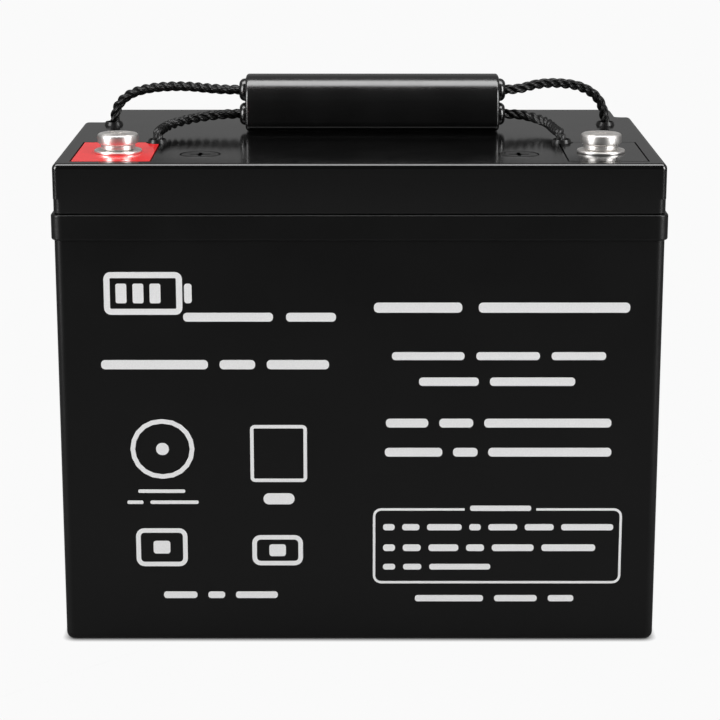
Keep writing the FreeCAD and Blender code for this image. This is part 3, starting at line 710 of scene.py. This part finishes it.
# %% [markdown]
# ## Vent plugs
# Two plugs close the lid's gas outlets. Each has a flat head, flush with the lid and with a cross slot for a
# screwdriver, and a shank with a groove for its ring, a pocket for the flame disc and a drilled passage. The
# head's rim is bevelled, and that is what makes its circle show in the flat lid.

# %% Vent plugs
VENT_X, VENT_Y = 68.2, -56.5
PLUG_RADIUS, PLUG_THICK, PLUG_RIM_ROUND = 8.3, 3.0, 0.45
SHANK_OF_PLUG, PLUG_END = 6.5, LID_TOP - 11.0
GROOVE_LOW, GROOVE_WIDTH, GROOVE_FLOOR = PLUG_END + 3.35, 1.3, 5.3
CROSS_LONG, CROSS_WIDE, CROSS_CENTRE, CROSS_DEEP = 8.7, 1.5, 2.8, 1.5
POCKET_RADIUS, POCKET_DEEP, PASSAGE_RADIUS = 4.55, 2.5, 1.5
plug_seat = LID_TOP - PLUG_THICK


def core(name, low, high, radius, sides=72):
    """An upright rod on the axis of the plug that is being made."""
    return rod(name, (plug_x, VENT_Y, low), "Z", high - low, radius, sides)


for side, plug_x in (("left", -VENT_X), ("right", VENT_X)):
    plug = core("vent_plug_turned_" + side, plug_seat, LID_TOP, PLUG_RADIUS, 96)
    bevel(plug, all_at(2, LID_TOP), PLUG_RIM_ROUND, 5)
    combine(plug, [core("shank", PLUG_END, plug_seat + 1.5, SHANK_OF_PLUG)], "UNION")
    groove = core("groove", GROOVE_LOW, GROOVE_LOW + GROOVE_WIDTH, SHANK_OF_PLUG + 1.5)
    combine(groove, [core("groove_floor", GROOVE_LOW - 1, GROOVE_LOW + GROOVE_WIDTH + 1, GROOVE_FLOOR)], "DIFFERENCE")
    cross = [
        block("cross", (plug_x - across / 2, VENT_Y - deep / 2, LID_TOP - CROSS_DEEP),
              (plug_x + across / 2, VENT_Y + deep / 2, LID_TOP + 1))
        for across, deep in ((CROSS_LONG, CROSS_WIDE), (CROSS_WIDE, CROSS_LONG), (CROSS_CENTRE, CROSS_CENTRE))]
    pocket = core("pocket", PLUG_END - 1, PLUG_END + POCKET_DEEP, POCKET_RADIUS, 48)
    passage = core("passage", PLUG_END - 1, plug_seat, PASSAGE_RADIUS, 32)
    combine(plug, [groove, *cross, pocket, passage], "DIFFERENCE")
    smooth(plug)
    finished(plug, "plug_abs", "case", "vent_plug_" + side)

# %% [markdown]
# ## Terminal screws and washers
# Each terminal has a flat washer, a split spring washer and a low round-headed screw. They are turned parts, so
# each starts as a cylinder. Its edges are bevelled the way a turning tool leaves them, the bore and the cross
# slot are cut, and the finished part is copied to the other terminal with a mesh of its own.

# %% Sizes of the screw stack
WASHER_RADIUS, STACK_BORE = 10.3, 4.3
HEAD_RADIUS, HEAD_TOP_ROUND, HEAD_LOW_ROUND = 8.7, 1.0, 0.5
WASHER_TOP = LID_TOP + 1.2
HEAD_LOW = WASHER_TOP + 2.7
HEAD_TOP = HEAD_LOW + 4.3
SCREW_AXIS = (TERMINAL_X, TERMINAL_Y)


def upright(name, low, high, radius, sides=96):
    return rod(name, (*SCREW_AXIS, low), "Z", high - low, radius, sides)


def on_both_terminals(piece):
    """Copy a piece to the other terminal, with the copy's place in its mesh, and make the two one piece."""
    bpy.ops.object.select_all(action="DESELECT")
    piece.select_set(True)
    bpy.context.view_layer.objects.active = piece
    bpy.ops.object.duplicate()
    twin = bpy.context.object
    twin.data.transform(Matrix.Translation((-2 * TERMINAL_X * MM, 0.0, 0.0)))
    piece.select_set(True)
    bpy.context.view_layer.objects.active = piece
    bpy.ops.object.join()
    return piece


# %% Flat washers
washer = upright("flat_washers_turned", LID_TOP, WASHER_TOP, WASHER_RADIUS)
bevel(washer, all_at(2, WASHER_TOP), 0.4, 4)
bevel(washer, all_at(2, LID_TOP), 0.25, 2)
combine(washer, [upright("bore", LID_TOP - 1, WASHER_TOP + 1, STACK_BORE, 48)], "DIFFERENCE")
smooth(washer)
finished(on_both_terminals(washer), "plated_steel", "case", "flat_washers")

# %% Split spring washers
SPRING_RADIUS, SPRING_SPLIT = 7.4, 1.0
spring = upright("spring_washers_split", WASHER_TOP, HEAD_LOW, SPRING_RADIUS)
bevel(spring, all_at(2, HEAD_LOW), 1.0, 5)
bevel(spring, all_at(2, WASHER_TOP), 1.0, 5)
gap_y = TERMINAL_Y - SPRING_RADIUS / 2
combine(spring, [
    upright("bore", WASHER_TOP - 1, HEAD_LOW + 1, STACK_BORE, 48),
    block("split", (TERMINAL_X + 3.0, gap_y - SPRING_SPLIT / 2, WASHER_TOP - 1),
          (TERMINAL_X + 12.0, gap_y + SPRING_SPLIT / 2, HEAD_LOW + 1)),
], "DIFFERENCE")
smooth(spring)
finished(on_both_terminals(spring), "plated_steel", "case", "spring_washers")

# %% Round-headed screws with a cross slot
SHANK_RADIUS, SHANK_LENGTH = 3.95, 12.0
SLOT_REACH, SLOT_WIDTH, SLOT_DEPTH = 7.2, 1.5, 1.2
screw = upright("terminal_screws_turned", HEAD_LOW, HEAD_TOP, HEAD_RADIUS)
bevel(screw, all_at(2, HEAD_TOP), HEAD_TOP_ROUND, 6)
bevel(screw, all_at(2, HEAD_LOW), HEAD_LOW_ROUND, 3)
pick(screw, "polygons", lambda corners: len(corners) > 4 and all_at(2, HEAD_LOW)(corners))
bpy.ops.mesh.inset(thickness=(HEAD_RADIUS - HEAD_LOW_ROUND - SHANK_RADIUS) * MM)
bpy.ops.mesh.extrude_region_move(TRANSFORM_OT_translate={"value": (0.0, 0.0, -SHANK_LENGTH * MM)})
bpy.ops.object.mode_set(mode="OBJECT")
bevel(screw, all_at(2, HEAD_LOW - SHANK_LENGTH), 0.6, 2)
slots = []
for angle in (40.0, 130.0):
    slot = block("slot", (-SLOT_REACH, -SLOT_WIDTH / 2, HEAD_TOP - SLOT_DEPTH),
                 (SLOT_REACH, SLOT_WIDTH / 2, HEAD_TOP + 1))
    turned = Matrix.Rotation(radians(angle), 4, "Z")
    slot.data.transform(Matrix.Translation((TERMINAL_X * MM, TERMINAL_Y * MM, 0.0)) @ turned)
    slots.append(slot)
combine(screw, slots, "DIFFERENCE")
smooth(screw)
finished(on_both_terminals(screw), "plated_steel", "case", "terminal_screws")

# %% [markdown]
# ## Printing on the front
# The front wall carries white screen printing. Its words and marks are left out: in their place are plain bars
# with rounded ends, as long as the words of each line, a plain battery outline for the badge, and a ring, a
# square and two plain boxes for the symbols. The ink stands about a tenth of a millimetre proud, so each shape
# is a thin plate: a plane, its corners bevelled, then extruded.

# %% A plate of ink
WALL_Y = -82.75
INK = 0.12
ink, tree = new_material("white screen ink")
place = add(tree, "TexCoord").outputs["Object"]
# The weave of the printing screen, about 0.6 mm, is drawn a little coarser than real so that it can show.
weave = add(tree, "TexNoise", {"Vector": place, "Scale": 1 / (0.6 * MM), "Detail": 3.0})
tint = add(tree, "Mix", {0: weave.outputs[0], 6: linear("#DADADA"), 7: linear("#F2F2F2")}, data_type="RGBA")
relief = add(tree, "Bump", {"Distance": 0.01 * MM, "Height": weave.outputs[0]})
shader = add(tree, "BsdfPrincipled", {
    "Base Color": tint.outputs[2], "Roughness": 0.5, "IOR": 1.48, "Normal": relief.outputs[0]})
add(tree, "OutputMaterial", {"Surface": shader.outputs[0]})


def ink_plate(x0, x1, z0, z1, corner, line=0.0):
    """A thin plate of ink on the front wall, in mm. With a line width it is only an outline."""
    bpy.ops.object.select_all(action="DESELECT")
    middle = Vector(((x0 + x1) / 2, WALL_Y, (z0 + z1) / 2)) * MM
    bpy.ops.mesh.primitive_plane_add(size=1.0, location=middle, rotation=(pi / 2, 0.0, 0.0))
    bpy.context.object.scale = ((x1 - x0) * MM, (z1 - z0) * MM, 1.0)
    plate = applied("ink")
    pick(plate, "vertices", lambda corners: True)
    bpy.ops.mesh.bevel(offset=corner * MM, segments=5, affect="VERTICES")
    if line:
        bpy.ops.mesh.select_mode(type="FACE")
        bpy.ops.mesh.select_all(action="SELECT")
        bpy.ops.mesh.inset(thickness=line * MM)
        bpy.ops.mesh.delete(type="FACE")
    bpy.ops.object.mode_set(mode="OBJECT")
    return plate


def raise_ink(plates, name):
    """Make several flat plates one piece and give the ink its thickness."""
    bpy.ops.object.select_all(action="DESELECT")
    for plate in plates:
        plate.select_set(True)
    bpy.context.view_layer.objects.active = plates[0]
    if len(plates) > 1:
        bpy.ops.object.join()
    piece = bpy.context.object
    piece.name = piece.data.name = name
    bpy.ops.object.mode_set(mode="EDIT")
    bpy.ops.mesh.select_all(action="SELECT")
    bpy.ops.mesh.extrude_region_move(TRANSFORM_OT_translate={"value": (0.0, -INK * MM, 0.0)})
    bpy.ops.mesh.select_all(action="SELECT")
    bpy.ops.mesh.normals_make_consistent(inside=False)
    bpy.ops.object.mode_set(mode="OBJECT")
    piece.data.materials.append(ink)
    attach(piece, "case")
    print(piece.name, len(piece.data.polygons), "faces")


# %% Lines of words as plain bars
BAR_SHARE = 0.44
WORD_GAP = 1.3
LINES_OF_WORDS = {
    "ink_name_line": (-74.8, -10.0, 141.1, 149.8, (9, 5)),
    "ink_kind_line": (-110.1, -13.0, 120.1, 129.3, (12, 4, 7)),
    "ink_origin_line": (-85.4, -35.7, 17.6, 24.5, (4, 2, 5)),
    "ink_small_line_1": (-95.6, -75.3, 66.6, 70.1, (7,)),
    "ink_small_line_2": (-100.4, -69.6, 61.6, 65.1, (3, 9)),
    "ink_rating_line": (6.1, 114.7, 144.6, 154.6, (7, 12)),
    "ink_charge_line_1": (13.8, 105.0, 124.5, 132.4, (8, 7, 6)),
    "ink_charge_line_2": (25.4, 92.1, 113.0, 121.4, (7, 10)),
    "ink_value_line_1": (11.3, 108.0, 94.4, 103.3, (5, 4, 15)),
    "ink_value_line_2": (10.9, 108.3, 81.4, 90.3, (7, 3, 15)),
    "ink_frame_title": (47.8, 74.3, 57.9, 63.3, (7,)),
    "ink_frame_line_1": (10.2, 110.0, 48.8, 55.2, (2, 3, 6, 2, 5, 5, 9)),
    "ink_frame_line_2": (10.2, 102.4, 39.2, 46.1, (2, 3, 5, 3, 7, 9)),
    "ink_frame_line_3": (10.2, 56.9, 31.0, 36.9, (2, 3, 10)),
    "ink_last_line": (24.2, 93.4, 16.2, 22.7, (8, 5, 3)),
}
for name, (x0, x1, z0, z1, words) in LINES_OF_WORDS.items():
    per_letter = (x1 - x0) / (sum(words) + WORD_GAP * (len(words) - 1))
    tall = (z1 - z0) * BAR_SHARE
    low = (z0 + z1 - tall) / 2
    plates, x = [], x0
    for letters in words:
        plates.append(ink_plate(x, x + letters * per_letter, low, low + tall, 0.42 * tall))
        x += (letters + WORD_GAP) * per_letter
    raise_ink(plates, name)

# %% The badge and the symbols as plain shapes
raise_ink([
    ink_plate(-108.2, -75.0, 146.5, 165.0, 3.0, line=2.6),
    ink_plate(-74.2, -71.0, 151.5, 160.0, 1.2),
    ink_plate(-103.2, -98.6, 151.5, 160.0, 0.8),
    ink_plate(-96.0, -91.4, 151.5, 160.0, 0.8),
    ink_plate(-88.8, -84.2, 151.5, 160.0, 0.8),
], "ink_battery_outline")
raise_ink([ink_plate(-98.5, -71.0, 74.0, 100.6, 13.2, line=2.0), ink_plate(-87.5, -82.0, 84.6, 90.0, 2.6)],
          "ink_ring")
raise_ink([ink_plate(-47.0, -22.6, 72.5, 98.0, 2.0, line=1.5), ink_plate(-41.5, -28.1, 62.4, 67.4, 2.4)],
          "ink_square")
raise_ink([ink_plate(-97.0, -74.7, 34.2, 51.5, 3.6, line=2.0), ink_plate(-89.5, -82.2, 40.0, 45.8, 1.2)],
          "ink_plain_box_left")
raise_ink([ink_plate(-46.6, -24.6, 34.6, 48.4, 3.6, line=2.0), ink_plate(-39.2, -32.0, 38.8, 44.2, 1.2)],
          "ink_plain_box_right")

# %% The open frame on the right, with a gap for its title
FRAME_GAP = (45.5, 76.5)
outline = ink_plate(5.8, 113.7, 26.3, 60.6, 3.6, line=1.05)
for place in FRAME_GAP:
    pick(outline, "polygons", lambda corners: True)
    bpy.ops.mesh.bisect(plane_co=(place * MM, WALL_Y * MM, 0.0), plane_no=(1.0, 0.0, 0.0))
    bpy.ops.object.mode_set(mode="OBJECT")
pick(outline, "polygons", lambda corners: all(c.z > 55.0 for c in corners) and all(
    FRAME_GAP[0] - 0.01 < c.x < FRAME_GAP[1] + 0.01 for c in corners))
bpy.ops.mesh.delete(type="FACE")
bpy.ops.object.mode_set(mode="OBJECT")
raise_ink([outline], "ink_frame")
